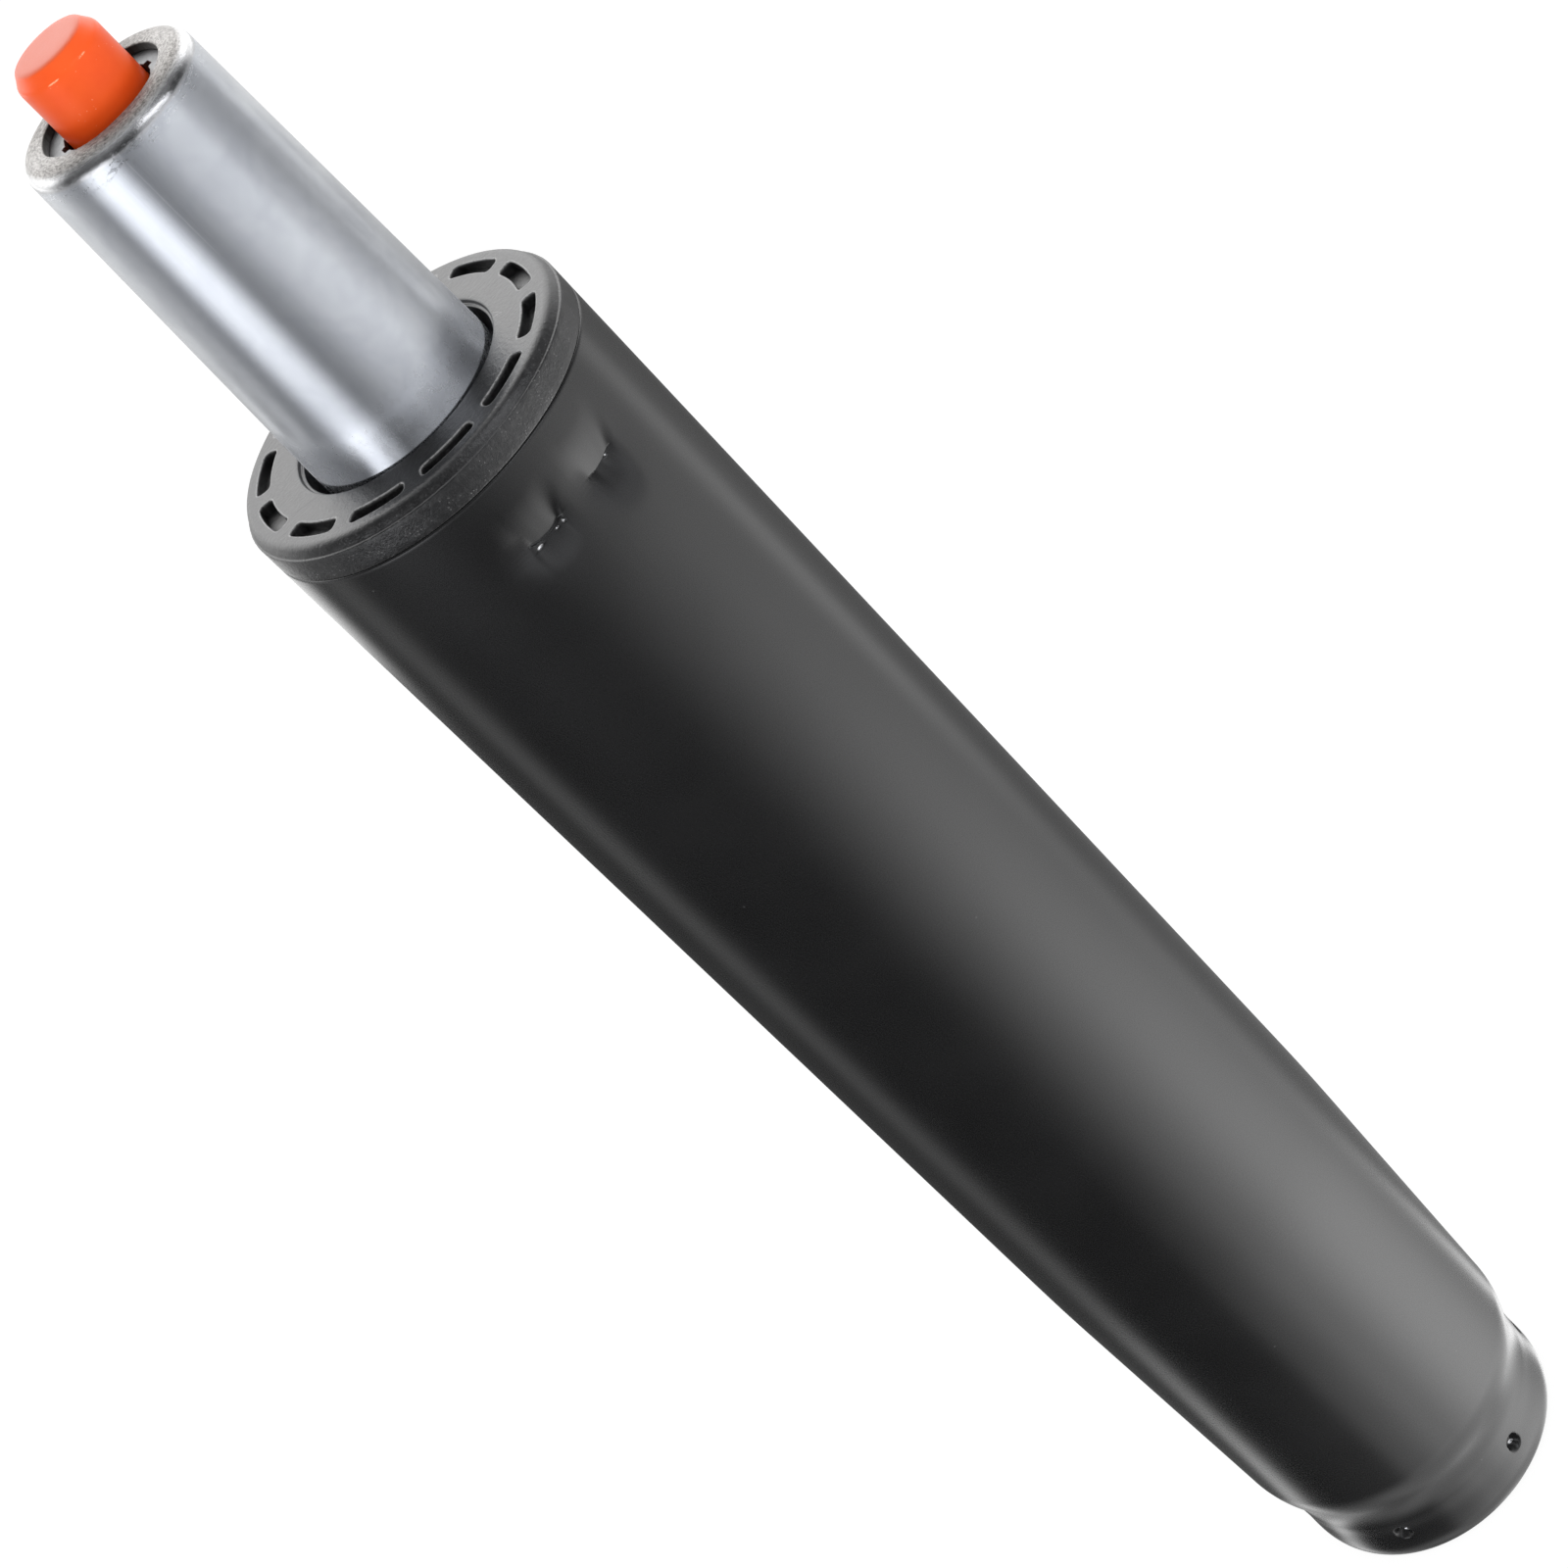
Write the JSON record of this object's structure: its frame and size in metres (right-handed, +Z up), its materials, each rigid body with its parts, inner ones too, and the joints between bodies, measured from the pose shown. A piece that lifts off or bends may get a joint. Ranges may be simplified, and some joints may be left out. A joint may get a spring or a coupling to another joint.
{
  "type": "chair gas lift cylinder",
  "caption": "Height-adjusting column of an office chair: a gas spring with a push-button release that slides and swivels in a tapered outer tube.",
  "frame": {"origin": "centre of the lower rim, on the surface that the part stands on", "axes": "+Z up along the common axis of the tubes, -Y towards the side with the first pair of crimps"},
  "size_m": [0.05, 0.05, 0.3103],
  "materials": {
    "powder_coat": "satin black powder coat",
    "bush_plastic": "black moulded plastic with a fine grain",
    "plate_steel": "turned steel",
    "bearing_steel": "ground steel",
    "ball_steel": "polished steel",
    "cage_brass": "pressed brass",
    "washer_steel": "zinc-plated steel",
    "buffer_rubber": "matt black rubber",
    "rod_chrome": "hard chrome",
    "clip_steel": "dark spring steel",
    "piston_steel": "turned",
    "seal_rubber": "matt black nitrile rubber",
    "band_plastic": "off-white low-friction plastic",
    "nut_steel": "zinc-plated steel",
    "zinc_steel": "satin zinc-coloured steel",
    "sleeve_steel": "honed steel",
    "guide_plastic": "dark filled plastic",
    "valve_brass": "turned brass",
    "cap_steel": "stamped steel",
    "button_plastic": "orange moulded plastic"
  },
  "bodies": {
    "column": {"outer_tube": "powder_coat", "guide_bush": "bush_plastic", "base_plate": "plate_steel", "lower_race": "bearing_steel"},
    "bearing_cage": {"ball_cage": "cage_brass", "bearing_balls": "ball_steel"},
    "rod": {"piston_rod": "rod_chrome", "upper_race": "bearing_steel", "stop_washer": "washer_steel", "bump_stop": "buffer_rubber", "base_washer": "washer_steel", "retaining_clip": "clip_steel", "piston": "piston_steel", "piston_seal": "seal_rubber", "piston_ring": "band_plastic", "piston_washer": "washer_steel", "piston_nut": "nut_steel"},
    "gas_spring": {"pressure_tube": "zinc_steel", "inner_cylinder": "sleeve_steel", "rod_guide": "guide_plastic", "seal_washer": "washer_steel", "rod_seal": "seal_rubber", "closing_washer": "washer_steel", "valve_housing": "valve_brass", "valve_orings": "seal_rubber", "pin_seals": "seal_rubber", "top_washer": "cap_steel"},
    "button": {"release_button": "button_plastic", "valve_pin": "rod_chrome"}
  },
  "joints": [
    {"name": "swivel", "type": "hinge", "parent": "column", "child": "rod", "pos_m": [0, 0, 0.012], "axis": [0, 0, 1], "continuous": true},
    {"name": "cage_turn", "type": "hinge", "parent": "column", "child": "bearing_cage", "pos_m": [0, 0, 0.012], "axis": [0, 0, 1], "continuous": true},
    {"name": "lift", "type": "slide", "parent": "rod", "child": "gas_spring", "axis": [0, 0, 1], "range_m": [0, 0.12]},
    {"name": "button_press", "type": "slide", "parent": "gas_spring", "child": "button", "axis": [0, 0, -1], "range_m": [0, 0.0035], "stiffness_N_per_m": 2500, "springref_m": -0.004}
  ],
  "couplings": [
    {"joint": "cage_turn", "follows": "swivel", "ratio": 0.5}
  ]
}
